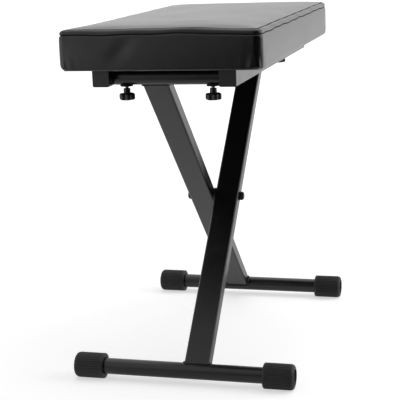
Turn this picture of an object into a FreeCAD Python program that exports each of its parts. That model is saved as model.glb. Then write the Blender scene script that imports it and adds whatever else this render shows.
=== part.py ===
"""Folding keyboard bench: a padded seat on two square rails, carried by a pair of crossed legs.

X runs along the seat's length, Y across it, Z up. The origin is on the floor under the middle of the seat.
The near end is at -X, left is +Y. Each leg is a flat tube with a round crossbar welded across its top and a
round foot tube welded across its bottom. The legs cross at a bolt. The crossbars lie under the seat between
the rails. Sizes are in millimetres.
"""

import FreeCAD
import Part
import math
import os

from FreeCAD import Vector

# Seat
seat_length = 564.0
seat_width = 300.0
seat_underside = 492.0
seat_thickness = 61.0
seam_height = 50.0        # seam above the underside
seat_corner = 16.0        # radius of the upright corners
cover_thickness = 0.9
side_draw = 1.2           # sides drawn in between the corners
flat_top = 55.0           # half width of the level middle of the crown
hem_width = 20.0          # cover turned in under the board
hem_corner = 12.0
board_thickness = 12.0
board_inset = 6.0         # foam between the board's edge and the cover
# Rails under the seat
rail_size = 25.4
rail_wall = 1.5
rail_radius = 2.4
rail_setback = 12.0       # rail's end from the seat's end
rail_spacing = 190.6      # between the rails' centre lines
rail_plug_lip = 2.0
rail_plug_depth = 14.0
rail_screw_radius = 2.5
rail_screw_head = 5.0
rail_screw_head_height = 2.4
rail_screw_slot = 1.2     # width and depth of the cross slot
rail_screw_bite = 9.0
rail_screw_pitch = 205.0
# Round tubes
tube_radius = 12.7
tube_wall = 1.8
tube_gap = 0.3            # between a crossbar and the seat
bar_end_gap = 0.8         # between a crossbar's end and a rail
bar_plug_depth = 10.0
# Legs
leg_width = 40.0
leg_depth = 20.0
leg_wall = 1.5
leg_radius = 3.0
leg_gap = 3.4             # between the two legs
bar_setback = 29.0        # crossbar from the rail's end
foot_setback = 7.0        # foot tube from the crossbar, towards the middle
frame_shift = 8.0         # frame's middle from the seat's middle
# Foot caps
foot_span = 352.0         # over the caps
cap_radius = 20.0
cap_length = 48.0
cap_end = 8.0             # rubber beyond the tube's end
cap_edge = 3.0            # bevel of the outer end
cap_mouth_edge = 1.0
cap_recess_radius = 13.0  # hollow in the outer end
cap_recess_depth = 3.0
cap_ribs = 36
cap_rib_depth = 0.7
cap_groove_width = 1.6
cap_rim = 5.0
cap_flat = 0.5            # depth of the flat that stands on the floor
# Pivot bolt
bolt_radius = 4.0
bolt_play = 0.05
bush_wall = 2.0
washer_radius = 7.4
washer_thickness = 1.2
bolt_head_radius = 7.0
bolt_head_height = 4.4
bolt_socket = 5.0         # hexagon socket across its flats
bolt_socket_depth = 2.6
nut_across = 13.0
nut_height = 6.0
bolt_end = 0.6            # thread beyond the nut
spacer_radius = 13.0
spacer_play = 0.15
# Knobs
knob_from_rail = 16.6     # knob's axis from the rail's inner face
stud_radius = 3.0
stud_play = 0.5
knob_gap = 5.0            # crossbar to the knob's neck
knob_neck = 9.7
knob_neck_radius = 5.3
knob_height = 7.4
knob_radius = 11.8
knob_lobes = 6
knob_scallop = 4.6        # radius of the hollows between the lobes
knob_scallop_depth = 2.2
knob_edge = 1.5
knob_crown = 0.8          # the head's underside stands out in the middle
stud_sunk = 2.0           # plastic below the stud
saddle_thickness = 1.8
saddle_radius = 9.5
saddle_rise = 2.5         # horns beside the tube
seat_stud_bite = 10.0     # far studs into the seat
near_stud_drop = 0.8      # near studs stop below the crossbar's top
t_nut_flange = 9.0
t_nut_flange_thickness = 1.4
t_nut_barrel = 4.2
nut_pairs = 3             # near seat nuts, a pair for each height
height_step = 20.0        # between the pairs
tip_down = 39.0           # seat tips on the far crossbar as the legs spread
tip_up = 5.0

half_length = seat_length / 2
half_width = seat_width / 2
rail_length = seat_length - 2 * rail_setback
bar_reach = rail_length / 2 - bar_setback
foot_reach = bar_reach - foot_setback
bar_height = seat_underside - tube_gap - tube_radius
foot_height = cap_radius - cap_flat
near_bar = frame_shift - bar_reach
far_bar = frame_shift + bar_reach
near_foot = frame_shift - foot_reach
far_foot = frame_shift + foot_reach
rail_centre = rail_spacing / 2
rail_inner = rail_centre - rail_size / 2
knob_side = rail_inner - knob_from_rail
bar_half = rail_inner - bar_end_gap
leg_inner = leg_gap / 2
leg_outer = leg_inner + leg_width
pivot_share = bar_reach / (bar_reach + foot_reach)
pivot_height = bar_height - pivot_share * (bar_height - foot_height)
pivot = Vector(frame_shift, 0, pivot_height)
ALONG, ACROSS, UP = Vector(1, 0, 0), Vector(0, 1, 0), Vector(0, 0, 1)


def save(name, *solids):
    """Writes one node: a solid, or several alike solids."""
    os.makedirs("parts", exist_ok=True)
    shape = solids[0] if len(solids) == 1 else Part.makeCompound(list(solids))
    shape.exportStep(f"parts/{name}.step")


def rod(radius, length, start, direction):
    return Part.makeCylinder(radius, length, start, direction)


def block(x0, x1, y0, y1, z0, z1):
    return Part.makeBox(x1 - x0, y1 - y0, z1 - z0, Vector(x0, y0, z0))


def rounded_outline(half_x, half_y, radius, height, bow=0.0):
    """Rounded rectangle in the XY plane, whose sides bow out by the given amount between its corners."""
    corner = radius * math.sqrt(0.5)
    edges = []
    for turn in range(4):
        a, b = (half_x, half_y) if turn % 2 == 0 else (half_y, half_x)
        angle = turn * math.pi / 2
        spin = lambda x, y: Vector(x * math.cos(angle) - y * math.sin(angle),
                                   x * math.sin(angle) + y * math.cos(angle), height)
        start, end = spin(a, radius - b), spin(a, b - radius)
        side = Part.Arc(start, spin(a + bow, 0), end) if bow else Part.LineSegment(start, end)
        edges.append(side.toShape())
        middle = spin(a - radius + corner, b - radius + corner)
        edges.append(Part.Arc(end, middle, spin(a - radius, b)).toShape())
    return Part.Wire(edges)


def pad_form(shrink, bottom):
    """The seat's upholstered outline: a boxed side that swells below a seam, and a crowned top panel."""
    top, crown = seat_thickness, half_width - flat_top
    levels = [(0.0, 2.6), (3.0, 0.5), (seam_height * 0.5, 0.0), (seam_height - 2.5, 0.6), (seam_height, 1.9),
              (seam_height + 2.2, 0.9), (top - 6.5, 2.6), (top - 3.6, 8.0), (top - 1.8, crown * 0.23),
              (top - 0.6, crown * 0.58), (top, crown)]
    below, above = levels[0], levels[1]
    start = below[1] + (above[1] - below[1]) * bottom / above[0]
    levels[0] = (bottom, start)
    outlines = []
    for height, inset in levels:
        level = height - shrink if height > seam_height + 5 else height
        side = inset + shrink
        outlines.append(rounded_outline(half_length - side, half_width - side, seat_corner + side * 0.25,
                                        seat_underside + level, -side_draw))
    return Part.makeLoft(outlines, True, True)


def square_tube(width, depth, radius, length):
    """Solid bar along X with rounded edges, centred on the X axis."""
    y, z = width / 2, depth / 2
    bar = block(0, length, -y, y, -z, z)
    long_edges = [e for e in bar.Edges if abs(e.Vertexes[0].X - e.Vertexes[1].X) > length / 2]
    return bar.makeFillet(radius, long_edges)


def hollow_square_tube(width, depth, wall, radius, length):
    outer = square_tube(width, depth, radius, length)
    inner = square_tube(width - 2 * wall, depth - 2 * wall, radius - wall, length)
    return outer.cut(inner)


def make_seat():
    board_bottom = seat_underside + cover_thickness
    outer = pad_form(0.0, 0.0)
    inner = pad_form(cover_thickness, cover_thickness)
    opening = rounded_outline(half_length - hem_width, half_width - hem_width, hem_corner, seat_underside)
    opening = Part.Face(opening).extrude(UP * cover_thickness)
    board = Part.Face(rounded_outline(half_length - board_inset, half_width - board_inset,
                                      seat_corner, board_bottom)).extrude(UP * board_thickness)
    foam = inner.cut(board)
    cover = outer.cut(inner).cut(opening)
    t_nuts, dust = [], opening
    for x in [far_bar] + [near_bar + step * height_step for step in range(nut_pairs)]:
        for y in (-knob_side, knob_side):
            foot = Vector(x, y, board_bottom)
            barrel = rod(t_nut_barrel, board_thickness, foot, UP)
            flange_foot = foot + UP * (board_thickness - t_nut_flange_thickness)
            flange = rod(t_nut_flange, t_nut_flange_thickness, flange_foot, UP)
            outside = barrel.fuse(flange)
            board = board.cut(outside)
            t_nuts.append(outside.cut(rod(stud_radius + bolt_play, board_thickness, foot, UP)).removeSplitter())
            dust = dust.cut(rod(t_nut_barrel, cover_thickness, Vector(x, y, seat_underside), UP))
    return cover, foam, board, dust, t_nuts


def make_rails(board, dust, cover):
    rails, plugs, screws = [], [], []
    for side in (1, -1):
        start = Vector(frame_shift - rail_length / 2, side * rail_centre, seat_underside - rail_size / 2)
        rail = hollow_square_tube(rail_size, rail_size, rail_wall, rail_radius, rail_length)
        rail.translate(start)
        bottom = seat_underside - rail_size
        for step in (-1, 0, 1):
            x = frame_shift + step * rail_screw_pitch
            foot = Vector(x, side * rail_centre, bottom)
            shank = rod(rail_screw_radius, rail_size + cover_thickness + rail_screw_bite, foot, UP)
            head_foot = bottom - rail_screw_head_height
            head = Part.makeCone(rail_screw_head * 0.72, rail_screw_head, rail_screw_head_height,
                                 foot - UP * rail_screw_head_height, UP)
            slot = block(x - rail_screw_head * 0.6, x + rail_screw_head * 0.6, foot.y - rail_screw_slot / 2,
                         foot.y + rail_screw_slot / 2, head_foot, head_foot + rail_screw_slot)
            cross = slot.copy()
            cross.rotate(foot, UP, 90)
            rail, dust = rail.cut(shank), dust.cut(shank)
            board, cover = board.cut(shank), cover.cut(shank)
            screws.append(shank.fuse(head).cut(slot.fuse(cross)).removeSplitter())
        rails.append(rail)
        for end in (-1, 1):
            inside = rail_size - 2 * rail_wall
            stem = square_tube(inside, inside, rail_radius - rail_wall, rail_plug_depth)
            lip = square_tube(rail_size, rail_size, rail_radius, rail_plug_lip)
            lip.translate(Vector(-rail_plug_lip, 0, 0))
            plug = stem.fuse(lip).removeSplitter()
            if end > 0:
                plug.rotate(Vector(), UP, 180)
            plug.translate(start + ALONG * (rail_length if end > 0 else 0))
            plugs.append(plug)
    return rails, plugs, screws, board, dust, cover


def foot_cap(side):
    """Ribbed rubber cap: grooves run along it, from a smooth rim at its mouth to its bevelled, hollowed end."""
    body = rod(cap_radius, cap_length, Vector(), ACROSS)
    ends = [e for e in body.Edges if e.Length > cap_radius * 6]
    outer_end = [e for e in ends if e.BoundBox.YMin > cap_length / 2]
    mouth = [e for e in ends if e.BoundBox.YMin < cap_length / 2]
    body = body.makeChamfer(cap_edge, outer_end).makeChamfer(cap_mouth_edge, mouth)
    grooves = []
    length = cap_length - cap_rim * 2
    half, outside = cap_groove_width / 2, cap_radius + cap_rib_depth
    left, right = Vector(-half, cap_rim, outside), Vector(half, cap_rim, outside)
    section = Part.makePolygon([left, Vector(0, cap_rim, cap_radius - cap_rib_depth), right, left])
    for step in range(cap_ribs):
        angle = (step + 0.5) * 360 / cap_ribs
        groove = Part.Face(section).extrude(ACROSS * length)
        groove.rotate(Vector(), ACROSS, angle)
        grooves.append(groove)
    body = body.cut(Part.makeCompound(grooves))
    body = body.cut(rod(tube_radius, cap_length - cap_end, Vector(), ACROSS))
    body = body.cut(rod(cap_recess_radius, cap_recess_depth, ACROSS * (cap_length - cap_recess_depth), ACROSS))
    body = body.cut(block(-cap_radius, cap_radius, 0, cap_length, -cap_radius, cap_flat - cap_radius))
    if side < 0:
        body.rotate(Vector(), UP, 180)
    return body


def make_foot(x):
    """One foot tube with a cap on each end."""
    tube_half = foot_span / 2 - cap_end
    centre = Vector(x, 0, foot_height)
    tube = rod(tube_radius, 2 * tube_half, centre - ACROSS * tube_half, ACROSS)
    tube = tube.cut(rod(tube_radius - tube_wall, 2 * tube_half, centre - ACROSS * tube_half, ACROSS))
    caps = []
    for side in (1, -1):
        cap = foot_cap(side)
        cap.translate(centre + ACROSS * side * (foot_span / 2 - cap_length))
        caps.append(cap)
    return tube, caps


def make_leg(bar_x, foot_x, inner_y, outer_y):
    """Flat tube from a crossbar to the foot tube on the other side, shaped at both ends to sit on the tubes."""
    top = Vector(bar_x, 0, bar_height)
    bottom = Vector(foot_x, 0, foot_height)
    length = (top - bottom).Length
    lean = math.degrees(math.atan2(top.z - bottom.z, top.x - bottom.x))
    leg = hollow_square_tube(leg_width, leg_depth, leg_wall, leg_radius, length)
    leg.rotate(Vector(), ACROSS, -lean)
    leg.translate(bottom + ACROSS * (inner_y + outer_y) / 2)
    for end in (top, bottom):
        leg = leg.cut(rod(tube_radius, leg_width * 4, end - ACROSS * leg_width * 2, ACROSS))
    bush_outer = bolt_radius + bolt_play + bush_wall
    start = pivot + ACROSS * inner_y
    leg = leg.cut(rod(bush_outer, outer_y - inner_y, start, ACROSS))
    bush = rod(bush_outer, outer_y - inner_y, start, ACROSS)
    bush = bush.cut(rod(bolt_radius + bolt_play, outer_y - inner_y, start, ACROSS))
    return leg, bush


def make_crossbar(x, slotted):
    start = Vector(x, -bar_half, bar_height)
    bar = rod(tube_radius, 2 * bar_half, start, ACROSS)
    bar = bar.cut(rod(tube_radius - tube_wall, 2 * bar_half, start, ACROSS))
    hole = stud_radius + stud_play
    for side in (-1, 1):
        at = Vector(x, side * knob_side, bar_height)
        if not slotted:
            bar = bar.cut(rod(hole, 4 * tube_radius, at - UP * 2 * tube_radius, UP))
            continue
        for turn in range(-int(tip_down + 1), int(tip_up + 2), 4):
            passage = rod(hole, 2 * tube_radius + 2, at - UP * (tube_radius + 1), UP)
            passage.rotate(at, ACROSS, turn)
            bar = bar.cut(passage)
    plugs = []
    inside = tube_radius - tube_wall
    for side in (-1, 1):
        end = Vector(x, side * bar_half, bar_height)
        plug = rod(inside, bar_plug_depth, end, ACROSS * -side)
        plugs.append(plug.cut(rod(inside - 1.5, bar_plug_depth, end - ACROSS * side * 2, ACROSS * -side)))
    return bar, plugs


def make_knob(x, y, stud_top):
    """Lobed hand knob with a neck, and the stud moulded into it."""
    neck_top = bar_height - tube_radius - knob_gap
    head_top = neck_top - knob_neck
    head_bottom = head_top - knob_height
    centre = Vector(x, y, 0)
    crown_edge = Vector(knob_radius * 0.6, 0, head_bottom - knob_crown / 2)
    profile = [Vector(0, 0, head_bottom - knob_crown), crown_edge,
               Vector(knob_radius - knob_edge, 0, head_bottom), Vector(knob_radius, 0, head_bottom + knob_edge),
               Vector(knob_radius, 0, head_top - knob_edge), Vector(knob_radius - knob_edge, 0, head_top),
               Vector(knob_neck_radius, 0, head_top), Vector(knob_neck_radius - 0.6, 0, neck_top),
               Vector(0, 0, neck_top)]
    head = Part.Face(Part.makePolygon(profile + profile[:1])).revolve(Vector(), UP, 360)
    for lobe in range(knob_lobes):
        angle = 2 * math.pi * lobe / knob_lobes
        reach = knob_radius + knob_scallop - knob_scallop_depth
        place = Vector(reach * math.cos(angle), reach * math.sin(angle), head_bottom - 2 * knob_crown)
        head = head.cut(rod(knob_scallop, knob_height + 2 * knob_crown, place, UP))
    head.translate(centre)
    stud_foot = centre + UP * (head_bottom + stud_sunk)
    stud = rod(stud_radius, stud_top - stud_foot.z, stud_foot, UP)
    stud = stud.makeChamfer(stud_radius * 0.2, [e for e in stud.Edges if e.BoundBox.ZMin > stud_top - 0.1])
    return head.cut(rod(stud_radius, knob_height + knob_neck, stud_foot, UP)), stud


def make_saddle(x, y, clearance):
    """Washer under a crossbar, hollowed to the tube, that a knob presses on."""
    top = bar_height - tube_radius
    saddle = rod(saddle_radius, saddle_thickness + saddle_rise, Vector(x, y, top - saddle_thickness), UP)
    saddle = saddle.cut(rod(tube_radius + clearance, 4 * saddle_radius,
                            Vector(x, y - 2 * saddle_radius, bar_height), ACROSS))
    hole = Vector(x, y, top - 2 * saddle_thickness)
    return saddle.cut(rod(stud_radius + bolt_play, 4 * saddle_thickness, hole, UP))


def hexagon(across, height, start, direction):
    points = [Vector(across / math.sqrt(3) * math.cos(math.radians(60 * k)), 0,
                     across / math.sqrt(3) * math.sin(math.radians(60 * k))) for k in range(6)]
    prism = Part.Face(Part.makePolygon(points + points[:1])).extrude(direction * height)
    prism.translate(start)
    return prism


def make_pivot():
    """Bolt through both legs, head on the left, lock nut on the right, and a spacer between the legs."""
    left_face, right_face = leg_outer, -leg_outer
    head_seat = pivot + ACROSS * (left_face + washer_thickness)
    nut_seat = pivot + ACROSS * (right_face - washer_thickness)
    length = head_seat.y - nut_seat.y + nut_height + bolt_end
    bolt = rod(bolt_radius, length, head_seat, -ACROSS)
    dome = rod(bolt_head_radius, bolt_head_height, head_seat, ACROSS)
    rim = [e for e in dome.Edges if e.BoundBox.YMin > head_seat.y + bolt_head_height / 2]
    dome = dome.makeFillet(bolt_head_height * 0.7, rim)
    socket_floor = head_seat + ACROSS * (bolt_head_height - bolt_socket_depth)
    socket = hexagon(bolt_socket, bolt_head_height, socket_floor, ACROSS)
    bolt = bolt.fuse(dome).cut(socket)
    nut = hexagon(nut_across, nut_height * 0.75, nut_seat, -ACROSS)
    collar = rod(nut_across / 2 - 0.4, nut_height, nut_seat, -ACROSS)
    nut = nut.fuse(collar).removeSplitter().cut(rod(bolt_radius, nut_height, nut_seat, -ACROSS))
    washers = []
    for start in (pivot + ACROSS * left_face, nut_seat):
        ring = rod(washer_radius, washer_thickness, start, ACROSS)
        washers.append(ring.cut(rod(bolt_radius + bolt_play, washer_thickness, start, ACROSS)))
    start = pivot - ACROSS * leg_inner
    thickness = leg_gap - spacer_play
    spacer = rod(spacer_radius, thickness, start, ACROSS)
    spacer = spacer.cut(rod(bolt_radius + bolt_play, thickness, start, ACROSS))
    return bolt.removeSplitter(), nut, washers, spacer


cover, foam, board, dust, t_nuts = make_seat()
rails, rail_plugs, rail_screws, board, dust, cover = make_rails(board, dust, cover)
save("seat_cover", cover)
save("seat_foam", foam)
save("seat_board", board)
save("dust_cloth", dust)
save("seat_nuts", *t_nuts)
save("left_rail", rails[0])
save("right_rail", rails[1])
save("rail_end_plugs", *rail_plugs)
save("rail_screws", *rail_screws)

for name, x, slotted in (("near", near_bar, False), ("far", far_bar, True)):
    crossbar, plugs = make_crossbar(x, slotted)
    save(f"{name}_crossbar", crossbar)
    save(f"{name}_crossbar_plugs", *plugs)
    stud_top = bar_height + tube_radius - near_stud_drop
    if slotted:
        stud_top = seat_underside + seat_stud_bite
    for side_name, side in (("left", 1), ("right", -1)):
        knob, stud = make_knob(x, side * knob_side, stud_top)
        save(f"{name}_{side_name}_knob", knob)
        save(f"{name}_{side_name}_stud", stud)
        save(f"{name}_{side_name}_saddle", make_saddle(x, side * knob_side, tube_gap if slotted else 0.0))

for name, bar_x, foot_x, inner_y, outer_y in (("left", near_bar, far_foot, leg_inner, leg_outer),
                                              ("right", far_bar, near_foot, -leg_outer, -leg_inner)):
    leg, bush = make_leg(bar_x, foot_x, inner_y, outer_y)
    save(f"{name}_leg", leg)
    save(f"{name}_leg_bush", bush)

for name, x in (("near", near_foot), ("far", far_foot)):
    tube, caps = make_foot(x)
    save(f"{name}_foot_tube", tube)
    save(f"{name}_left_foot_cap", caps[0])
    save(f"{name}_right_foot_cap", caps[1])

bolt, nut, washers, spacer = make_pivot()
save("pivot_bolt", bolt)
save("pivot_nut", nut)
save("pivot_washers", *washers)
save("pivot_spacer", spacer)
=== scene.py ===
"""Dresses the folding keyboard bench as it stands in its photograph. Lengths are in metres."""
import math

import bpy
import numpy as np
from mathutils import Matrix, Vector, geometry, kdtree, noise


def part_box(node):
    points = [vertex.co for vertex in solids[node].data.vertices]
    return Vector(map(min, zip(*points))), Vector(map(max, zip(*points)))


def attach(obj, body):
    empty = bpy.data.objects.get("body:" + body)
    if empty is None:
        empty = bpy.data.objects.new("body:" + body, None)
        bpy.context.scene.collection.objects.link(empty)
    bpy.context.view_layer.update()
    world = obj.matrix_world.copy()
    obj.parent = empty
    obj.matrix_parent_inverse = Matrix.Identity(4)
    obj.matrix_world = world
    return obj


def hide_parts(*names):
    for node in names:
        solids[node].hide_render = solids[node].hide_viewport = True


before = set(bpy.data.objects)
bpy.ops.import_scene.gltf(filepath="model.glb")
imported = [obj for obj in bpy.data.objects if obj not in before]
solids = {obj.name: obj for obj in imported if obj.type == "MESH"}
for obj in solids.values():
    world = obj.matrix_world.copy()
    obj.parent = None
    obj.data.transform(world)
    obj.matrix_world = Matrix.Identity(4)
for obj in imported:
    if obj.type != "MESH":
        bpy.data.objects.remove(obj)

scene = bpy.context.scene
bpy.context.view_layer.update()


# The studio is a white sweep under a large soft lamp overhead and another to the right, with little light
# behind the camera. The camera stands off the near end of the seat with a long lens, a little above it.
class Wire:
    """An output socket of a node tree. Arithmetic on it adds Math nodes."""

    def __init__(self, tree, socket=None):
        self.tree, self.socket = tree, socket

    def add(self, kind, settings={}, values={}, out=0):
        """Adds any node: its settings first, then the values or links of its sockets."""
        node = self.tree.nodes.new(kind)
        for name, value in settings.items():
            setattr(node, name, value)
        for name, value in values.items():
            if isinstance(value, Wire):
                self.tree.links.new(value.socket, node.inputs[name])
            else:
                node.inputs[name].default_value = value
        return Wire(self.tree, node.outputs[out]) if node.outputs else None

    def output(self, name):
        return Wire(self.tree, self.socket.node.outputs[name])

    def math(self, operation, *others):
        return self.add("ShaderNodeMath", {"operation": operation}, dict(enumerate((self,) + others)))

    def ease(self, low, high, start=0.0, end=1.0):
        """Goes smoothly from start to end as this value goes from low to high."""
        return self.add("ShaderNodeMapRange", {"interpolation_type": "SMOOTHSTEP"},
                        {0: self, 1: low, 2: high, 3: start, 4: end})

    def tint(self, low, high):
        """Mixes two colours by this value."""
        return self.add("ShaderNodeMix", {"data_type": "RGBA"}, {0: self, 6: low, 7: high}, 2)

    def axis(self, letter):
        return self.add("ShaderNodeSeparateXYZ", {}, {0: self}, letter)

    def __add__(self, other):
        return self.math("ADD", other)

    __radd__ = __add__

    def __sub__(self, other):
        return self.math("SUBTRACT", other)

    def __rsub__(self, other):
        return (self * -1) + other

    def __mul__(self, other):
        return self.math("MULTIPLY", other)

    __rmul__ = __mul__

    def __truediv__(self, other):
        return self.math("DIVIDE", other)

    def __rtruediv__(self, other):
        return self.add("ShaderNodeMath", {"operation": "DIVIDE"}, {0: other, 1: self})


eye = Vector((-1.87226, -0.49662, 0.68038))
azimuth, elevation, roll = (math.radians(angle) for angle in (-74.4168, 12.797, -2.2406))
toward_lens = Vector((math.sin(azimuth) * math.cos(elevation), -math.cos(azimuth) * math.cos(elevation),
                      math.sin(elevation)))
level_right = (-toward_lens).cross(Vector((0, 0, 1))).normalized()
level_up = toward_lens.cross(level_right)
picture_right = level_right * math.cos(roll) + level_up * math.sin(roll)
picture_up = level_up * math.cos(roll) - level_right * math.sin(roll)
lens = bpy.data.cameras.new("lens")
lens.lens, lens.sensor_width = 105.6, 36.0
lens.clip_start, lens.clip_end = 0.05, 200.0
camera = bpy.data.objects.new("camera", lens)
camera.matrix_world = (Matrix.Translation(eye)
                       @ Matrix((picture_right, picture_up, toward_lens)).transposed().to_4x4())
scene.collection.objects.link(camera)
scene.camera = camera
scene.view_settings.view_transform = "Standard"


def lines_of_sight(tree):
    """Tells the camera's own rays, and those that a surface mirrors or lets through."""
    rays = tree.add("ShaderNodeLightPath")
    return (rays.output("Is Camera Ray"),
            rays.output("Is Glossy Ray").math("MAXIMUM", rays.output("Is Transmission Ray")))


def lit_share(x, y):
    """How bright a direction is, from its X and Y: the studio is dark only behind the camera."""
    return (x * 0.75 + y * 0.66).ease(-0.62, -0.36, 0.0, 1.0)


studio = bpy.data.worlds.new("studio")
studio.use_nodes = True
studio.node_tree.nodes.clear()
scene.world = studio
sky = Wire(studio.node_tree)
seen, mirrored = lines_of_sight(sky)
way = sky.add("ShaderNodeTexCoord", out="Generated")
lit = lit_share(way.axis("X"), way.axis("Y"))
flare = (way.axis("X").ease(0.2, 0.9, 1.0, 1.35)
         + way.axis("Y").ease(0.2, 0.5, 0, 0.8) * way.axis("X").ease(-0.7, -0.3, 1, 0))
brightness = seen.math("MAXIMUM", mirrored * lit * flare).math("MAXIMUM", lit * 0.3)
sky_light = sky.add("ShaderNodeBackground", {}, {"Color": (1, 1, 1, 1), "Strength": brightness})
sky.add("ShaderNodeOutputWorld", {}, {"Surface": sky_light})

floor_half = 40.0
floor_mesh = bpy.data.meshes.new("floor")
floor_mesh.from_pydata([(-floor_half, -floor_half, 0), (floor_half, -floor_half, 0),
                        (floor_half, floor_half, 0), (-floor_half, floor_half, 0)], [], [(0, 1, 2, 3)])
floor = bpy.data.objects.new("floor", floor_mesh)
scene.collection.objects.link(floor)
sweep = bpy.data.materials.new("white_sweep")
sweep.use_nodes = True
sweep.node_tree.nodes.clear()
paper = Wire(sweep.node_tree)
seen, mirrored = lines_of_sight(paper)
# The floor glows as well as taking light: painted light, which also sets what mirrors show of it.
spot = paper.add("ShaderNodeTexCoord", out="Object")
reach = spot.add("ShaderNodeVectorMath", {"operation": "LENGTH"}, {0: spot}, "Value")
lit = lit_share(spot.axis("X") / reach, spot.axis("Y") / reach)
lit = lit.math("MAXIMUM", reach.ease(0.5, 0.9, 0.8, 0.0))
# Painted reflection: in mirrors the floor glows brighter far along +X, and to the left beyond the camera.
mirror_glow_far = (spot.axis("X").ease(0.6, 2.5, 1.0, 1.25)
              + (spot.axis("Y") / reach).ease(0.2, 0.5, 0, 0.8) * spot.axis("X").ease(-3.0, -1.0, 1, 0))
# Painted light: to the camera the floor glows from 0.6 near the bench to 1 far off.
away = reach.ease(0.6, 3.5, 0.6, 1.0)
# Painted dark reflection: in mirrors the floor behind the camera takes a near-black matt colour.
matt_colour_mirror_darkened = (mirrored * (1 - lit)).tint((0.82, 0.82, 0.82, 1), (0.05, 0.05, 0.05, 1))
matt = paper.add("ShaderNodeBsdfDiffuse", {}, {"Color": matt_colour_mirror_darkened})
strength = seen.math("MAXIMUM", mirrored * lit * mirror_glow_far) * away
glow = paper.add("ShaderNodeEmission", {}, {"Strength": strength})
both = paper.add("ShaderNodeAddShader", {}, {0: matt, 1: glow})
paper.add("ShaderNodeOutputMaterial", {}, {"Surface": both})
floor_mesh.materials.append(sweep)

for name, place, aim, size, power in (("overhead_lamp", (0.5, -0.2, 2.6), (0, 0, 0.3), 2.8, 29),
                                      ("right_lamp", (0.5, -2.6, 1.3), (0, 0, 0.35), 1.8, 24)):
    lamp = bpy.data.lights.new(name, "AREA")
    lamp.shape, lamp.size, lamp.energy = "SQUARE", size, power
    stand = bpy.data.objects.new(name, lamp)
    stand.location = place
    stand.rotation_euler = (Vector(aim) - Vector(place)).to_track_quat("-Z", "Y").to_euler()
    stand.visible_camera = False
    scene.collection.objects.link(stand)


# The steel frame: two flat-tube legs, two crossbars, two foot tubes and two square rails, all cut from stock
# tube and given a satin black powder coat, whose skin has a faint orange peel.
def start_finish(name, **constants):
    """New material whose constants go on the shader's sockets. Returns it, its shader and its coordinates."""
    material = bpy.data.materials.new(name)
    material.use_nodes = True
    shader = material.node_tree.nodes["Principled BSDF"]
    for socket, value in constants.items():
        shader.inputs[socket.replace("_", " ")].default_value = value
    return material, shader, Wire(material.node_tree).add("ShaderNodeTexCoord", out="Object")


def feed(shader, **wires):
    """Links what changes over the surface to the shader's sockets."""
    for socket, wire in wires.items():
        wire.tree.links.new(wire.socket, shader.inputs[socket.replace("_", " ")])


def speckle(place, scale, detail=2.0, roughness=0.5, stretch=(1, 1, 1)):
    """Noise of the given scale, from 0 to 1."""
    if stretch != (1, 1, 1):
        place = place.add("ShaderNodeMapping", {}, {"Vector": place, "Scale": stretch})
    return place.add("ShaderNodeTexNoise", {}, {"Vector": place, "Scale": scale, "Detail": detail,
                                                "Roughness": roughness})


def relief(height, strength, depth, under=None):
    """Bump from a height, laid over another bump if one is given."""
    values = {"Height": height, "Strength": strength, "Distance": depth}
    if under:
        values["Normal"] = under
    return height.add("ShaderNodeBump", {}, values)


def dress(material, *names):
    """Gives solids of the frame their finish."""
    for name in names:
        solids[name].data.materials.clear()
        solids[name].data.materials.append(material)


powder_coat, shader, place = start_finish("powder_coat", Specular_IOR_Level=0.4)
cloud = speckle(place, 35, 3)
peel = speckle(place, 1100, 1)
scuff = speckle(place, 14, 5, 0.7, (1, 1, 3)).ease(0.62, 0.78)
feed(shader,
     Base_Color=(cloud * 0.5 + scuff * 0.5).tint((0.005, 0.005, 0.0053, 1), (0.011, 0.011, 0.0115, 1)),
     Roughness=0.28 + cloud * 0.08 + scuff * 0.1,
     Normal=relief(cloud, 0.12, 0.0006, relief(peel, 0.1, 0.0002)))
dress(powder_coat, "left_leg", "right_leg", "near_crossbar", "far_crossbar", "near_foot_tube",
      "far_foot_tube", "left_rail", "right_rail")


# Each leg is welded all round to its crossbar and its foot tube. The bead is a row of overlapping ripples
# that was coated with the frame. It follows the line where the flat tube meets the round one.
def start_growth(name, sizes):
    """New geometry tree with named sizes. Returns it and its inputs by name."""
    tree = bpy.data.node_groups.new(name, "GeometryNodeTree")
    tree.interface.new_socket("Geometry", in_out="INPUT", socket_type="NodeSocketGeometry")
    tree.interface.new_socket("Geometry", in_out="OUTPUT", socket_type="NodeSocketGeometry")
    for size, value in sizes.items():
        kind = "NodeSocketInt" if isinstance(value, int) else "NodeSocketFloat"
        tree.interface.new_socket(size, in_out="INPUT", socket_type=kind).default_value = value
    inputs = tree.nodes.new("NodeGroupInput").outputs
    return tree, {socket.name: Wire(tree, socket) for socket in inputs if socket.name}


def end_growth(shape, material):
    """Ends a geometry tree in plain, smooth, finished faces."""
    shape = shape.add("GeometryNodeRealizeInstances", {}, {0: shape})
    shape = shape.add("GeometryNodeSetShadeSmooth", {}, {0: shape})
    shape = shape.add("GeometryNodeSetMaterial", {}, {0: shape, "Material": material})
    shape.tree.links.new(shape.socket, shape.tree.nodes.new("NodeGroupOutput").inputs[0])


def spaced_path(sizes, spacing):
    """The seed's edges as a curve, points along it at the named spacing, and the turn that follows it."""
    path = sizes["Geometry"].add("GeometryNodeMeshToCurve", {}, {0: sizes["Geometry"]})
    points = path.add("GeometryNodeResampleCurve", {"mode": "LENGTH"},
                      {"Curve": path, "Length": sizes[spacing]})
    heading = path.add("GeometryNodeInputTangent")
    return path, points, heading.add("FunctionNodeAlignRotationToVector", {"axis": "X"}, {"Vector": heading})


def askew(turn, low, high, seed):
    """Turns each thing on the line a little more, at random between two limits in radians."""
    skew = turn.add("FunctionNodeRandomValue", {"data_type": "FLOAT_VECTOR"}, {0: low, 1: high, "Seed": seed})
    skew = skew.add("FunctionNodeEulerToRotation", {}, {0: skew})
    return turn.add("FunctionNodeRotateRotation", {"rotation_space": "LOCAL"}, {0: turn, 1: skew})


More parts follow.
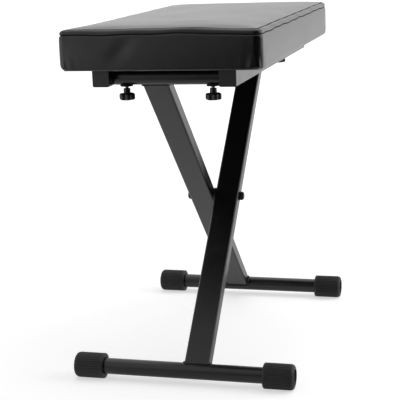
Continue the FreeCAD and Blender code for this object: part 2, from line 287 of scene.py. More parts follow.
def grow(name, tree, vertices, edges, faces, sizes={}):
    """Runs a geometry tree on a plain mesh, and keeps what it makes as a mesh of its own."""
    mesh = bpy.data.meshes.new(name)
    mesh.from_pydata([tuple(vertex) for vertex in vertices], edges, faces)
    seed = bpy.data.objects.new(name + "_seed", mesh)
    scene.collection.objects.link(seed)
    growth = seed.modifiers.new("growth", "NODES")
    growth.node_group = tree
    for item in tree.interface.items_tree:
        if item.in_out == "INPUT" and item.name in sizes:
            growth[item.identifier] = sizes[item.name]
    bpy.context.view_layer.update()
    made = bpy.data.meshes.new_from_object(seed.evaluated_get(bpy.context.evaluated_depsgraph_get()))
    seed.modifiers.clear()
    bpy.data.objects.remove(seed)
    made.name = name
    return made


def keep(name, mesh, body, slot, *replaced):
    """Puts a finished mesh on its body, in place of the solids that it stands for."""
    piece = bpy.data.objects.new(name, mesh)
    scene.collection.objects.link(piece)
    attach(piece, body)
    if replaced:
        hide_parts(*replaced)
    return piece


def ring_edges(count, start=0):
    """Joins points in a row to a closed ring."""
    return [(start + k, start + (k + 1) % count) for k in range(count)]


def middle(name):
    """Middle of one of the frame's solids."""
    low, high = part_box(name)
    return (low + high) / 2


tube_radius = 0.0127
leg_half_width, leg_half_depth, leg_round = 0.020, 0.010, 0.003
weld_offset = 0.0004
tree, sizes = start_growth("weld_bead", {"Ripple": 0.0017, "Bead Radius": 0.0021})
path, points, turn = spaced_path(sizes, "Ripple")
drop = path.add("GeometryNodeMeshUVSphere", {}, {"Segments": 8, "Rings": 6, "Radius": sizes["Bead Radius"]})
drop = drop.add("GeometryNodeTransform", {}, {0: drop, "Scale": (0.72, 1.0, 1.0)})
jitter = path.add("FunctionNodeRandomValue", {"data_type": "FLOAT"}, {2: 0.85, 3: 1.1, "Seed": 5}, 1)
end_growth(path.add("GeometryNodeInstanceOnPoints", {}, {"Points": points, "Instance": drop, "Rotation": turn,
                                                         "Scale": jitter}), powder_coat)


def section_outline(half_width, half_depth, radius, per_corner=5, per_side=8):
    """Points round a rounded rectangle, as pairs across and through it."""
    points = []
    for quarter in range(4):
        a, b = (half_width, half_depth) if quarter % 2 == 0 else (half_depth, half_width)
        angle = quarter * math.pi / 2
        corner = Vector((a - radius, b - radius))
        side = [Vector((a, radius - b)).lerp(Vector((a, b - radius)), k / per_side) for k in range(per_side)]
        bends = [k * math.pi / 2 / per_corner for k in range(per_corner)]
        arc = [corner + radius * Vector((math.cos(bend), math.sin(bend))) for bend in bends]
        points += [Matrix.Rotation(angle, 2) @ point for point in side + arc]
    return points


def weld_line(leg, tube, far_tube):
    """Where the leg's outline meets the round tube, as a closed row of points just outside the joint."""
    centre = middle(tube)
    centre.y = middle(leg).y
    along = (middle(far_tube) - centre) * Vector((1, 0, 1))
    along.normalize()
    through = Vector((-along.z, 0, along.x))
    half_width, half_depth = leg_half_width + weld_offset, leg_half_depth + weld_offset
    line = []
    for across, depth in section_outline(half_width, half_depth, leg_round):
        reach = math.sqrt(max((tube_radius + 0.0005) ** 2 - depth ** 2, 0))
        line.append(centre + along * reach + through * depth + Vector((0, across, 0)))
    return line


for body, leg, bar, foot in (("right_leg_frame", "right_leg", "far_crossbar", "near_foot_tube"),
                             ("left_leg_frame", "left_leg", "near_crossbar", "far_foot_tube")):
    top, bottom = weld_line(leg, bar, foot), weld_line(leg, foot, bar)
    edges = ring_edges(len(top)) + ring_edges(len(bottom), len(top))
    keep(leg + "_welds", grow(leg + "_welds", tree, top + bottom, edges, []), body, "black_steel")


# The seat pad: black grained vinyl stretched over foam on a plywood board. A boxing strip goes round the side
# and is sewn to the top panel, whose edge is top-stitched. The cover's hem is stapled under the board.
pad_half = Vector((0.282, 0.150))
pad_foot, seam_rise, hem, vinyl_thickness = 0.492, 0.050, 0.020, 0.0009
left_corner, right_corner = 0.0065, 0.0125
# From here to the hem's rows, values are in millimetres: how high the panel's edge, its rounded shoulder and
# its crown rise, and where rows of points lie, counted inwards over the panel and upwards on the side.
edge_rise, shoulder_rise, crown_rise = 52.0, 5.2, 3.8
top_stitch = 6.0
fold_lines = [0, 0.9, 1.9, 3.0, 4.0, 4.8, 5.3, 5.7, top_stitch, 6.3, 6.7, 7.2, 8.2, 9.6, 11.5, 13.7, 16.0, 19,
              23, 28]
seam_rows = [(51.2, 0.25), (50.75, 0.6), (50.4, 1.1), (50.15, 1.6), (50.0, 1.85), (49.85, 1.65), (49.6, 1.2),
             (49.2, 0.75)]
side_rises = [48.3, 47.2, 45.5, 43, 40, 36.5, 33, 29.5, 26, 22.5, 19, 16, 13, 10.5, 8.3, 6.4, 4.8, 3.4, 2.2,
              1.2, 0.5, 0.1]
hem_rows = [(0.0, 5.0, 7), (0.0, 7.5, 8), (0.0, 11.0, 10), (0.0, 15.0, 11), (0.0, hem * 1000, 12)]


def grid_lines(half, pitch):
    """Where the top panel's rows lie: close together near both edges, then evenly."""
    near = [line * 0.001 - half for line in fold_lines]
    steps = round(-2 * near[-1] / pitch)
    even = [near[-1] * (1 - 2 * k / steps) for k in range(1, steps)]
    return near + even + [-line for line in reversed(near)]


def corner_radius(y):
    """The right corners are slacker than the left ones, so they are rounder."""
    return left_corner if y > 0 else right_corner


def plan(x, y):
    """Rounds the corners of the pad's plan. Returns the place, its depth in from the edge and the way out."""
    pad_corner = corner_radius(y)
    far = Vector((abs(x), abs(y))) - (pad_half - Vector((pad_corner, pad_corner)))
    if far.x <= 0 or far.y <= 0:
        if far.x > far.y:
            return Vector((x, y)), pad_half.x - abs(x), Vector((math.copysign(1, x), 0))
        return Vector((x, y)), pad_half.y - abs(y), Vector((0, math.copysign(1, y)))
    reach = max(far)
    angle = math.pi / 4 * (far.y / far.x if far.x >= far.y else 2 - far.x / far.y)
    out = Vector((math.copysign(math.cos(angle), x), math.copysign(math.sin(angle), y)))
    centre = Vector((math.copysign(pad_half.x - pad_corner, x), math.copysign(pad_half.y - pad_corner, y)))
    return centre + out * reach, pad_corner - reach, out


def bell(distance, width):
    """Falls softly from 1 in the middle to 0 on both sides."""
    return math.exp(-(distance / width) ** 2)


def swell(x, y):
    """How much the near end's edge is pushed up, most of all right of its middle."""
    left_of_corner = 1 / (1 + math.exp(-(y + 0.095) / 0.012))
    return (0.0023 * left_of_corner + 0.0009 * bell(y + 0.047, 0.04) - 0.0004) * bell(x + pad_half.x, 0.07)


def waver(x, y):
    """How far the seam wanders up and down from a straight line."""
    return 0.0005 * math.sin(x * 41 + 1.3) * math.cos(y * 37) + 0.0005 * math.sin(x * 97 + y * 83)


def side_inset(rise):
    """How far the side lies inside the pad's edge at this height, in millimetres."""
    base = 3.0 * math.exp(-rise / 1.2) + 0.3 * (1 - rise / 25) ** 2
    return base + 0.9 * math.exp(-(seam_rise * 1000 - rise) / 2.2)


def pad_surface(pitch, shrink=0.0, tuck=hem_rows):
    """The pad's outside: the top panel's grid, rows down the side, and rows tucked under the board, which have
    a rise, an inset and a corner radius in millimetres. Returns the points, the faces, the five rows where the
    top-stitching draws the panel in, and the rows below the panel."""
    xs, ys = grid_lines(pad_half.x, pitch), grid_lines(pad_half.y, pitch)
    points, faces = [], []
    for x in xs:
        for y in ys:
            spot, depth, out = plan(x, y)
            deep = depth * 1000
            curl = min(max(deep / 8.5, 0), 1)
            shoulder = shoulder_rise * math.sqrt(1 - (1 - curl) ** 2)
            rise = (edge_rise + shoulder + crown_rise * (1 - math.exp(-deep / 32))) * 0.001
            ease = math.exp(-deep / 9)
            rise += swell(x, y) + waver(x, y) * ease - 0.0008 * bell(deep - top_stitch, 0.55) - shrink
            spot = spot - out * (0.0009 * math.exp(-deep / 2) + shrink * ease)
            points.append(Vector((spot.x, spot.y, pad_foot + rise)))
    columns = len(ys)
    for i in range(len(xs) - 1):
        for j in range(columns - 1):
            corner = i * columns + j
            faces.append((corner, corner + columns, corner + columns + 1, corner + 1))

    def ring(k):
        last, end = len(xs) - 1 - k, columns - 1 - k
        return ([(i, k) for i in range(k, last)] + [(last, j) for j in range(k, end)]
                + [(i, end) for i in range(last, k, -1)] + [(k, j) for j in range(end, k, -1)])

    row = [i * columns + j for i, j in ring(0)]
    rings = [row]
    places = [plan(xs[i], ys[j]) for i, j in ring(0)]
    rows = [(rise, inset + 0.75, None) for rise, inset in seam_rows]
    rows += [(rise, side_inset(rise), None) for rise in side_rises]
    for rise, inset, radius in rows + list(tuck):
        follow = min(rise / 50, 1) ** 2
        start = len(points)
        for spot, depth, out in places:
            lift = (swell(*spot) + waver(*spot)) * follow
            at = spot - out * (inset * 0.001 + shrink * min(rise, 1))
            if radius:
                room = pad_half - Vector((inset + radius, inset + radius)) * 0.001
                straight = pad_half - Vector((1, 1)) * corner_radius(spot.y)
                at = Vector((math.copysign(room.x * min(abs(spot.x) / straight.x, 1), spot.x),
                             math.copysign(room.y * min(abs(spot.y) / straight.y, 1), spot.y)))
                at += out * radius * 0.001
            points.append(Vector((at.x, at.y, pad_foot + rise * 0.001 + lift)))
        count = len(places)
        new_row = list(range(start, start + count))
        faces += [(row[k], new_row[k], new_row[(k + 1) % count], row[(k + 1) % count]) for k in range(count)]
        row = new_row
        rings.append(row)
    return points, faces, [[i * columns + j for i, j in ring(k)] for k in range(6, 11)], rings


def mesh_of(name, points, faces, material):
    """A smooth mesh of one material."""
    mesh = bpy.data.meshes.new(name)
    mesh.from_pydata([tuple(point) for point in points], [], faces)
    mesh.materials.append(material)
    mesh.polygons.foreach_set("use_smooth", [True] * len(mesh.polygons))
    return mesh


def blown_up(points, faces, last_row):
    """Inflates a copy of the pad as cloth, held along its seam and under its board. Returns where its points
    were and how far each moved."""
    mesh = bpy.data.meshes.new("blown")
    mesh.from_pydata([tuple(point) for point in points], [], faces + [tuple(reversed(last_row))])
    skin = bpy.data.objects.new("blown", mesh)
    scene.collection.objects.link(skin)
    remesh = skin.modifiers.new("remesh", "REMESH")
    remesh.mode, remesh.voxel_size = "VOXEL", 0.0065
    bpy.context.view_layer.update()
    even = bpy.data.meshes.new_from_object(skin.evaluated_get(bpy.context.evaluated_depsgraph_get()))
    skin.modifiers.clear()
    skin.data = even
    before = np.array([vertex.co[:] for vertex in even.vertices])
    held = skin.vertex_groups.new(name="held")
    for index, (x, y, z) in enumerate(before):
        rise = z - pad_foot
        hold = 0.9 * bell(rise - seam_rise, 0.004)
        if rise < 0.006:
            hold = 1.0
        elif rise > 0.03 and abs(x) < pad_half.x - 0.020 and abs(y) < pad_half.y - 0.020:
            hold = 0.15
        held.add([index], hold, "REPLACE")
    cloth = skin.modifiers.new("cloth", "CLOTH")
    cloth.settings.vertex_group_mass = "held"
    cloth.settings.quality = 6
    cloth.settings.mass = 0.3
    cloth.settings.tension_stiffness = cloth.settings.compression_stiffness = 20
    cloth.settings.bending_stiffness = 0.6
    cloth.settings.use_pressure = True
    cloth.settings.uniform_pressure_force = 4.0
    cloth.settings.effector_weights.gravity = 0
    cloth.collision_settings.use_collision = False
    last_step = 20
    cloth.point_cache.frame_start, cloth.point_cache.frame_end = 1, last_step
    for step in range(1, last_step + 1):
        scene.frame_set(step)
    worn = skin.evaluated_get(bpy.context.evaluated_depsgraph_get()).to_mesh()
    after = np.array([vertex.co[:] for vertex in worn.vertices])
    scene.frame_set(1)
    skin.modifiers.clear()
    bpy.data.objects.remove(skin)
    return before, after - before


def carried(points, before, moves, limit, reach=0.007):
    """Moves each point with the cloth round it, no further than the limit and not at all under the board."""
    tree = kdtree.KDTree(len(before))
    for index, place in enumerate(before):
        tree.insert(place, index)
    tree.balance()
    result = []
    for point in points:
        near = tree.find_n(point, 10)
        weights = np.array([bell(gap, reach) + 1e-6 for _, _, gap in near])
        move = Vector(weights @ moves[[index for _, index, _ in near]] / weights.sum())
        if move.length > limit:
            move *= limit / move.length
        result.append(point + move * min(max((point.z - pad_foot) / 0.008, 0), 1))
    return result


vinyl, shader, place = start_finish("grained_vinyl", Specular_IOR_Level=0.42)
pebble = place.add("ShaderNodeTexVoronoi", {"feature": "DISTANCE_TO_EDGE"}, {"Vector": place, "Scale": 620.0})
pebble = pebble.ease(0.0, 0.3)
crumple = speckle(place, 700, 3, 0.6)
drift = speckle(place, 9, 3)
handling = speckle(place, 3.2, 4, 0.6)
creased = place.add("ShaderNodeAttribute", {"attribute_name": "crease"}, out="Fac")
feed(shader,
     Base_Color=(drift * 0.6 + pebble * 0.4).tint((0.004, 0.004, 0.0042, 1), (0.0085, 0.0085, 0.009, 1)),
     Roughness=0.27 + drift * 0.08 + handling * 0.06 - pebble * 0.03 + creased * 0.65,
     Normal=relief(pebble, 0.16, 0.00018, relief(crumple, 0.1, 0.0002, relief(drift, 0.35, 0.0014))))

points, faces, drawn_in, rings = pad_surface(0.0048)
slack_points, slack_faces, _, slack_rows = pad_surface(0.008, 0.0012)
rest, moves = blown_up(slack_points, slack_faces, slack_rows[-1])
points = carried(points, rest, moves, 0.003)


def pull(point):
    """The boxing strip's folds: a slack diagonal hollow across the near end, gathers at the foot and the head
    of each corner, a left side that stands out near that end, and feet of the corners that are drawn up."""
    x, y, z = point
    rise = z - pad_foot
    edge = pad_half - Vector((0.0001, 0.0001))
    spot, depth, out = plan(max(min(x, edge.x), -edge.x), max(min(y, edge.y), -edge.y))
    corner = Vector((abs(x) - pad_half.x, abs(y) - pad_half.y))
    on_side = depth < 0.006
    shift = 0.0
    if x < 0.012 - pad_half.x and rise < 0.049:
        from_head = Vector((y - 0.036, rise - 0.048))
        diagonal = Vector((0.044, -0.040)).normalized()
        apart = from_head.x * diagonal.y - from_head.y * diagonal.x
        shift -= 0.0009 * bell(apart, 0.011) * bell(from_head.dot(diagonal) - 0.026, 0.026)
    if 0.001 < rise < 0.045 and corner.length < 0.05 and on_side:
        round_corner = math.atan2(abs(out.y), abs(out.x)) * corner_radius(y) + (corner.x - corner.y) * 0.5
        gathered = bell(corner.length, 0.024) * (0.35 if y > 0 else 1.0)
        shift += 0.0008 * gathered * bell(rise - 0.004, 0.014) * math.sin(round_corner * 900 + rise * 60)
        shift -= 0.0004 * gathered * bell(0.049 - rise, 0.008) * math.cos(round_corner * 700)
    slack = 0.0019 * max(out.y, 0) * bell(x + pad_half.x, 0.05) * math.exp(-max(depth, 0) / 0.004)
    slack *= min(max((rise - 0.001) / 0.006, 0), 1)
    raised = 0.0018 * bell(corner.length, 0.012) * bell(rise, 0.007) if on_side else 0
    return Vector((out.x * shift, out.y * shift + slack, raised))


points = [point + pull(point) for point in points]
cover = keep("seat_pad", mesh_of("seat_pad", points, faces, vinyl), "seat", "vinyl", "seat_cover")
crease = cover.data.attributes.new("crease", "FLOAT", "POINT").data
for line in drawn_in + rings[2:8]:
    for index in line:
        crease[index].value = 1.0
wall = cover.modifiers.new("thickness", "SOLIDIFY")
wall.thickness, wall.offset = vinyl_thickness, -1.0


# Black thread: the lockstitches that close the seam, and the top-stitching along the panel's edge. Both sink
# into the vinyl, so that little more than their backs shows.
thread, shader, place = start_finish("black_thread", Roughness=0.55, Specular_IOR_Level=0.4)
twist = speckle(place, 2600, 1, 0.5, (1, 1, 2))
feed(shader, Base_Color=twist.tint((0.006, 0.006, 0.0065, 1), (0.02, 0.02, 0.021, 1)),
     Normal=relief(twist, 0.3, 0.0001))

tree, sizes = start_growth("stitch_row", {"Pitch": 0.0042, "Stitch": 0.0031, "Thread": 0.00042})
path, stops, turn = spaced_path(sizes, "Pitch")
stitch = path.add("GeometryNodeMeshUVSphere", {}, {"Segments": 6, "Rings": 5, "Radius": 0.5})
wide = sizes["Thread"] * 2
shape = path.add("ShaderNodeCombineXYZ", {}, {0: sizes["Stitch"], 1: wide, 2: wide})
stitch = stitch.add("GeometryNodeTransform", {}, {0: stitch, "Scale": shape})
turn = askew(turn, (0, -0.06, 0.03), (0, 0.06, 0.12), 8)
row = path.add("GeometryNodeInstanceOnPoints", {}, {"Points": stops, "Instance": stitch, "Rotation": turn})
end_growth(row, thread)
for name, line in (("top_stitching", drawn_in[2]), ("seam_stitches", rings[4])):
    line = [points[index] for index in line]
    keep(name, grow(name, tree, line, ring_edges(len(line)), []), "seat", "vinyl")


# Inside the pad: a block of open-cell foam, glued to a plywood board. Zinc plated nuts for the knobs' studs
# are let into the board.
foam_skin, shader, place = start_finish("open_cell_foam", Roughness=0.95)
cells = place.add("ShaderNodeTexVoronoi", {}, {"Vector": place, "Scale": 900.0})
shade = cells.ease(0.0, 0.6) * 0.6 + speckle(place, 20) * 0.4
feed(shader, Base_Color=shade.tint((0.62, 0.58, 0.4, 1), (0.8, 0.77, 0.6, 1)),
     Normal=relief(cells, 0.5, 0.0004))
board_rows = ((0.95, 5.8, 10), (13.1, 5.8, 10), (13.1, 20.0, 12))
block_points, block_faces, _, block_rows = pad_surface(0.012, 0.0022, board_rows)
block = mesh_of("foam_block", block_points, block_faces + [tuple(reversed(block_rows[-1]))], foam_skin)
keep("foam_block", block, "seat", "foam", "seat_foam")

plywood, shader, place = start_finish("birch_plywood", Roughness=0.6)
warp = speckle(place, 6, 4, 0.6, (0.4, 3, 3))
grain = place.add("ShaderNodeTexWave", {"bands_direction": "Y"},
                  {"Vector": place, "Scale": 26.0, "Distortion": 9.0, "Detail": 3.0, "Detail Scale": 0.6})
ply_pair = 0.0024
plies = (place.axis("Z") * 2 * math.pi / ply_pair).math("SINE").ease(-0.3, 0.3)
shade = grain * 0.35 + warp * 0.35 + plies * 0.3
feed(shader, Base_Color=shade.tint((0.42, 0.27, 0.14, 1), (0.72, 0.55, 0.34, 1)),
     Normal=relief(grain, 0.1, 0.0002))
dress(plywood, "seat_board")

zinc, shader, place = start_finish("zinc_plate", Metallic=1.0)
bloom = speckle(place, 260, 4, 0.6)
feed(shader, Base_Color=bloom.tint((0.3, 0.31, 0.32, 1), (0.5, 0.51, 0.52, 1)), Roughness=0.22 + bloom * 0.16,
     Normal=relief(bloom, 0.08, 0.0001))
dress(zinc, "seat_nuts")


# The dust cloth is thin black non-woven fabric that hides the board. It is tucked under the cover's hem, with
# punched holes for the studs and the rail screws, and staples hold the hem all round.
non_woven, shader, place = start_finish("non_woven_cloth", Roughness=0.9, Specular_IOR_Level=0.25)
fibres = speckle(place, 900, 4, 0.7, (1, 3, 1))
emboss = place.add("ShaderNodeTexVoronoi", {}, {"Vector": place, "Scale": 420.0, "Randomness": 0.0})
emboss = emboss.ease(0.15, 0.4)
ripples = speckle(place, 7, 2, 0.5, (1, 2.5, 1))
feed(shader, Base_Color=(fibres * 0.6 + emboss * 0.4).tint((0.008, 0.008, 0.009, 1), (0.03, 0.03, 0.032, 1)),
     Normal=relief(ripples, 0.6, 0.003, relief(emboss, 0.4, 0.0002, relief(fibres, 0.3, 0.0001))))
cloth_low, cloth_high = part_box("dust_cloth")
cloth_size = cloth_high - cloth_low
cloth_gap, cloth_ripple, cloth_thickness = 0.00055, 0.00016, 0.00025
stud_hole, screw_hole, nut_pitch, screw_pitch = 0.0040, 0.0026, 0.020, 0.205
far_stud, near_stud, rail = middle("far_left_knob"), middle("near_left_knob"), middle("left_rail")
stud_rows = [far_stud.x] + [near_stud.x + step * nut_pitch for step in range(3)]
screw_rows = [rail.x + step * screw_pitch for step in (-1, 0, 1)]
holes = [(x, side * far_stud.y, stud_hole) for x in stud_rows for side in (-1, 1)]
holes += [(x, side * rail.y, screw_hole) for x in screw_rows for side in (-1, 1)]
flat_points = [Vector(spot) + Vector((middle("dust_cloth").x, 0))
               for spot in section_outline(cloth_size.y / 2, cloth_size.x / 2, 0.012, 5, 40)]
flat_points = [Vector((spot.y, spot.x)) for spot in flat_points]
rims = [list(range(len(flat_points)))]
per_hole, columns, rows = 16, 75, 37
for x, y, radius in holes:
    rims.append(list(range(len(flat_points), len(flat_points) + per_hole)))
    for bend in [k * 2 * math.pi / per_hole for k in range(per_hole)]:
        flat_points.append(Vector((x + radius * math.cos(bend), y + radius * math.sin(bend))))
for i in range(1, columns):
    for j in range(1, rows):
        spot = Vector((cloth_low.x + cloth_size.x * i / columns, cloth_low.y + cloth_size.y * j / rows))
        if all((spot - Vector((x, y))).length > radius + 0.002 for x, y, radius in holes):
            flat_points.append(spot)
rim_edges = [(rim[k], rim[(k + 1) % len(rim)]) for rim in rims for k in range(len(rim))]
laid, _, triangles, _, _, _ = geometry.delaunay_2d_cdt(flat_points, rim_edges, [], 0, 1e-7)
cloth_faces = []
for face in triangles:
    centre = sum((laid[k] for k in face), Vector((0, 0))) / 3
    if all((centre - Vector((x, y))).length > radius * 0.95 for x, y, radius in holes):
        cloth_faces.append(tuple(reversed(face)))
cloth_points = []
for spot in laid:
    edge = min(spot.x - cloth_low.x, cloth_high.x - spot.x, spot.y - cloth_low.y, cloth_high.y - spot.y)
    ripple = noise.noise(Vector((spot.x * 22, spot.y * 30, 0.4)))
    ripple += 0.6 * noise.noise(Vector((spot.x * 60, spot.y * 75, 3.1)))
    rise = cloth_gap + cloth_ripple * ripple * min(edge / 0.01, 1)
    cloth_points.append(Vector((spot.x, spot.y, pad_foot + rise)))
dust_cover = keep("dust_cover", mesh_of("dust_cover", cloth_points, cloth_faces, non_woven),
                  "seat", "dust_cloth", "dust_cloth")
weave = dust_cover.modifiers.new("thickness", "SOLIDIFY")
weave.thickness, weave.offset = cloth_thickness, 0.0

staple_steel, shader, place = start_finish("staple_wire", Metallic=1.0, Roughness=0.3)
feed(shader, Base_Color=speckle(place, 500).tint((0.5, 0.5, 0.52, 1), (0.75, 0.75, 0.76, 1)))
tree, sizes = start_growth("staple_row", {"Pitch": 0.034, "Crown": 0.0098, "Wire": 0.00055})
path, stops, turn = spaced_path(sizes, "Pitch")
wire = path.add("GeometryNodeMeshCylinder", {}, {"Vertices": 8, "Radius": 0.5, "Depth": 1.0})
shape = path.add("ShaderNodeCombineXYZ", {}, {0: sizes["Wire"], 1: sizes["Wire"] * 1.6, 2: sizes["Crown"]})
wire = wire.add("GeometryNodeTransform", {}, {0: wire, "Rotation": (0, math.pi / 2, 0), "Scale": shape})
turn = askew(turn, (0, 0, -0.12), (0, 0, 0.12), 3)
row = path.add("GeometryNodeInstanceOnPoints", {}, {"Points": stops, "Instance": wire, "Rotation": turn})
end_growth(row, staple_steel)
in_hem = 0.012
line = [Vector((x, y, pad_foot + 0.0002))
        for x, y in section_outline(pad_half.x - in_hem, pad_half.y - in_hem, 0.010, 5, 30)]
keep("hem_staples", grow("hem_staples", tree, line, ring_edges(len(line)), []), "seat", "zinc_steel")


# The rails' open ends are shut by moulded black plugs, and six black oxide pan-head screws go up through the
# rails into the board. The crossbars' ends are plugged too, and hollowed saddle washers sit under them.
moulded, shader, place = start_finish("moulded_plastic", Specular_IOR_Level=0.45)
flow = speckle(place, 60, 3, 0.6)
spark = speckle(place, 2200, 1)
rubbed = speckle(place, 45, 5, 0.7).ease(0.6, 0.8)
feed(shader, Base_Color=(flow * 0.5 + rubbed * 0.5).tint((0.009, 0.009, 0.0095, 1), (0.02, 0.02, 0.021, 1)),
     Roughness=0.42 + flow * 0.1 + rubbed * 0.1,
     Normal=relief(spark, 0.16, 0.00012, relief(flow, 0.08, 0.0003)))
dress(moulded, "rail_end_plugs", "far_crossbar_plugs", "near_crossbar_plugs")

# The saddle washers are real, but their colour is set darker than the other black parts as painted shade under
# the crossbars.
fibre_and_painted_shade, shader, place = start_finish("pressed_fibre_and_painted_shade", Specular_IOR_Level=0.2)
strands = speckle(place, 400, 4, 0.7, (1, 3, 1))
feed(shader, Base_Color=strands.tint((0.003, 0.003, 0.003, 1), (0.009, 0.009, 0.009, 1)),
     Roughness=0.6 + strands * 0.2, Normal=relief(strands, 0.2, 0.0002))
dress(fibre_and_painted_shade, "far_left_saddle", "far_right_saddle", "near_left_saddle", "near_right_saddle")

black_oxide, shader, place = start_finish("black_oxide", Metallic=0.85)
turned_marks = speckle(place, 320, 3, 0.6)
feed(shader, Base_Color=turned_marks.tint((0.010, 0.010, 0.0105, 1), (0.026, 0.026, 0.027, 1)),
     Roughness=0.34 + turned_marks * 0.16, Normal=relief(turned_marks, 0.1, 0.0001))
dress(black_oxide, "rail_screws", "pivot_bolt", "pivot_nut", "pivot_washers")


# The pivot: bushes pressed into both legs and a spacer between them keep steel off steel. All three are
# turned from black nylon, which has a waxy sheen.
nylon, shader, place = start_finish("black_nylon", Specular_IOR_Level=0.45)
waxy = speckle(place, 90, 3, 0.6)
feed(shader, Base_Color=waxy.tint((0.008, 0.008, 0.0085, 1), (0.024, 0.024, 0.025, 1)),
     Roughness=0.38 + waxy * 0.14, Normal=relief(waxy, 0.1, 0.0002))
dress(nylon, "right_leg_bush", "left_leg_bush", "pivot_spacer")


# Four rubber caps are pushed over the ends of the foot tubes. Each is ribbed along its length between a plain
# lip at its mouth and a rounded end that is hollow in the middle, and stands on a narrow flat.
def softened(corners, steps=3):
    """Rounds a profile's corners, given as distance from the axis, place along it and size of rounding."""
    line = []
    for before, (r, a, size), after in zip([None] + corners[:-1], corners, corners[1:] + [None]):
        here = Vector((r, a))
        if not (size and before and after):
            line.append(here)
            continue
        start = here + (Vector(before[:2]) - here).normalized() * size
        end = here + (Vector(after[:2]) - here).normalized() * size
        for k in range(steps + 1):
            t = k / steps
            line.append(start * (1 - t) ** 2 + here * 2 * t * (1 - t) + end * t ** 2)
    return line


def lathed(profile, around):
    """Turns a profile round the Z axis. It starts and ends on the axis, or closes on itself."""
    vertices, faces, rows = [], [], []
    for r, a in profile:
        if r < 1e-7:
            rows.append([len(vertices)] * around)
            vertices.append((0, 0, a))
        else:
            rows.append(list(range(len(vertices), len(vertices) + around)))
            vertices += [(r * math.cos(2 * math.pi * k / around), r * math.sin(2 * math.pi * k / around), a)
                         for k in range(around)]
    pairs = list(zip(rows, rows[1:]))
    if profile[0][0] > 1e-7:
        pairs.append((rows[-1], rows[0]))
    for low, high in pairs:
        for k in range(around):
            n = (k + 1) % around
            faces.append(tuple(dict.fromkeys((low[k], low[n], high[n], high[k]))))
    return vertices, faces


rubber, shader, place = start_finish("black_rubber", Specular_IOR_Level=0.4)
dusty = speckle(place, 55, 4, 0.65)
pores = speckle(place, 900, 2)
feed(shader, Base_Color=(dusty * 0.7 + pores * 0.3).tint((0.007, 0.007, 0.0072, 1), (0.02, 0.02, 0.0205, 1)),
     Roughness=0.5 + dusty * 0.16, Normal=relief(pores, 0.18, 0.00015))

cap_radius, cap_length = 0.020, 0.048
tree, sizes = start_growth("ribbed_cap", {"Ribs": 36, "Depth": 0.0012, "First": 0.004, "Last": 0.0445,
                                          "Radius": cap_radius})
position = Wire(tree).add("GeometryNodeInputPosition")
x, y, along = (position.axis(letter) for letter in "XYZ")
out = (x * x + y * y).math("SQRT")
ripple = (y.math("ARCTAN2", x) * sizes["Ribs"]).math("COSINE").ease(-1.0, 0.3, 1, 0)
ends = (along.ease(sizes["First"] - 0.0006, sizes["First"] + 0.0006)
        * along.ease(sizes["Last"] + 0.001, sizes["Last"] - 0.001))
outside = out.ease(sizes["Radius"] * 0.8, sizes["Radius"] * 0.92)
shrunk = 1 - ripple * ends * outside * sizes["Depth"] / sizes["Radius"]
scaled = position.add("ShaderNodeCombineXYZ", {}, {0: x * shrunk, 1: y * shrunk, 2: along})
ribbed = position.add("GeometryNodeSetPosition", {}, {"Geometry": sizes["Geometry"], "Position": scaled})
end_growth(ribbed, rubber)

bore, bore_depth = tube_radius + 0.00005, 0.040
cap_profile = softened([
    (bore, bore_depth, 0), (bore, 0.0012, 0), (tube_radius + 0.0012, 0, 0.0004), (cap_radius, 0, 0.0022),
    (cap_radius, 0.0036, 0.0003), (cap_radius - 0.00015, 0.0040, 0.0002), (cap_radius, 0.0045, 0.0003),
    (cap_radius, 0.015, 0), (cap_radius, 0.025, 0), (cap_radius, 0.035, 0), (cap_radius, cap_length, 0.0072),
    (0.0124, cap_length, 0.0005), (0.0120, 0.0462, 0.0004), (0.0116, 0.0451, 0.0008), (0, 0.0450, 0)], 6)
cap_profile.append(Vector((0, bore_depth)))
vertices, faces = lathed(cap_profile, 288)
for body, foot, caps in (("right_leg_frame", "near_foot_tube", ("near_left_foot_cap", "near_right_foot_cap")),
                         ("left_leg_frame", "far_foot_tube", ("far_left_foot_cap", "far_right_foot_cap"))):
    for cap in caps:
        mesh = grow(cap + "_ribbed", tree, vertices, [], faces)
        side = math.copysign(1, middle(cap).y)
        low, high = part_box(cap)
        mouth = Vector((middle(foot).x, low.y if side > 0 else high.y, middle(foot).z))
        mesh.transform(Matrix.Translation(mouth) @ Matrix.Rotation(math.radians(-90 * side), 4, "X"))
        for vertex in mesh.vertices:
            vertex.co.z = max(vertex.co.z, 0)
        keep(cap + "_ribbed", mesh, body, "rubber", cap)


# Four hand knobs of black plastic are moulded on zinc plated studs. Six hollows are drawn into each turned
# head's rim and leave six lobes under a plain neck. The stud's thread is one long spiral.
head_radius, stud_core, thread_pitch = 0.0118, 0.00255, 0.001
tree, sizes = start_growth("lobed_knob", {"Lobes": 6, "Radius": head_radius, "Hollow": 0.0046,
                                          "Hollow Depth": 0.0022, "Neck": 0.0053})
position = Wire(tree).add("GeometryNodeInputPosition")
x, y, height = (position.axis(letter) for letter in "XYZ")
out = (x * x + y * y).math("SQRT")
pitch = 2 * math.pi / sizes["Lobes"]
turned = y.math("ARCTAN2", x) / pitch
turned = (turned - turned.math("ROUND")) * pitch
centre = sizes["Radius"] + sizes["Hollow"] - sizes["Hollow Depth"]
beside = centre * turned.math("SINE")
under = (sizes["Hollow"] * sizes["Hollow"] - beside * beside).math("MAXIMUM", 0).math("SQRT")
edge = (centre * turned.math("COSINE") - under).math("SMOOTH_MIN", sizes["Radius"], 0.0012)
hollowed = out.ease(sizes["Neck"] * 1.12, sizes["Radius"] * 0.85)
shrunk = 1 - hollowed * (1 - edge / sizes["Radius"])
scaled = position.add("ShaderNodeCombineXYZ", {}, {0: x * shrunk, 1: y * shrunk, 2: height})
lobed = position.add("GeometryNodeSetPosition", {}, {"Geometry": sizes["Geometry"], "Position": scaled})
end_growth(lobed, moulded)

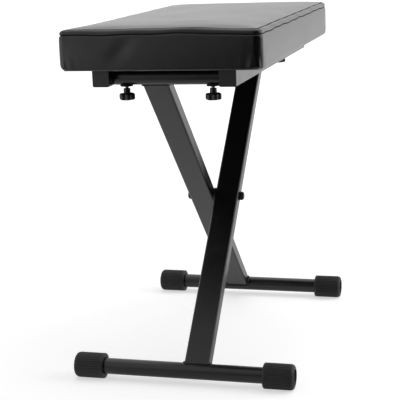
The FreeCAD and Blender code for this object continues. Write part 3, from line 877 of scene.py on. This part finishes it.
thread_tree, sizes = start_growth("stud_thread", {"Radius": 0.00262, "Pitch": thread_pitch, "Turns": 44.0})
coil = sizes["Radius"].add("GeometryNodeCurveSpiral", {}, {
    "Resolution": 18, "Rotations": sizes["Turns"], "Height": sizes["Turns"] * sizes["Pitch"],
    "Start Radius": sizes["Radius"], "End Radius": sizes["Radius"]})
coil = coil.add("GeometryNodeSetCurveNormal", {"mode": "Z_UP"}, {"Curve": coil})
ridge = coil.add("GeometryNodeCurvePrimitiveCircle", {}, {"Resolution": 4, "Radius": sizes["Pitch"] * 0.36})
coil = coil.add("GeometryNodeCurveToMesh", {}, {"Curve": coil, "Profile Curve": ridge, "Fill Caps": True})
core = coil.add("GeometryNodeJoinGeometry")
coil.tree.links.new(sizes["Geometry"].socket, core.socket.node.inputs[0])
coil.tree.links.new(coil.socket, core.socket.node.inputs[0])
end_growth(core, zinc)

for knob in ("near_left_knob", "near_right_knob", "far_left_knob", "far_right_knob"):
    low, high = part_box(knob)
    tall = high.z - low.z
    profile = softened([
        (0, 0, 0), (0.0071, 0.0004, 0.0008), (0.0103, 0.0008, 0.0006), (head_radius, 0.0023, 0.0008),
        (head_radius, 0.0088, 0.0009), (0.0104, 0.0104, 0.0008), (0.0052, 0.0107, 0.0009),
        (0.0050, tall, 0.0004), (0.0031, tall - 0.0002, 0.0001), (0.0031, tall - 0.0012, 0),
        (0, tall - 0.0012, 0)], 4)
    vertices, faces = lathed(profile, 120)
    mesh = grow(knob + "_head", tree, vertices, [], faces)
    mesh.transform(Matrix.Translation((middle(knob).x, middle(knob).y, low.z)))
    keep(knob + "_head", mesh, knob, "black_plastic", knob)
    stud = knob.replace("knob", "stud")
    low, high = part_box(stud)
    tall = high.z - low.z
    profile = softened([(0, 0, 0), (stud_core, 0, 0.0002), (stud_core, tall - 0.0004, 0.0003),
                        (0.0018, tall, 0.0002), (0, tall, 0)])
    vertices, faces = lathed(profile, 24)
    turns = (tall - 0.0012) / thread_pitch
    mesh = grow(stud + "_threaded", thread_tree, vertices, [], faces, {"Turns": turns})
    mesh.transform(Matrix.Translation((middle(stud).x, middle(stud).y, low.z)))
    keep(stud + "_threaded", mesh, knob, "zinc_steel", stud)

bpy.context.view_layer.update()
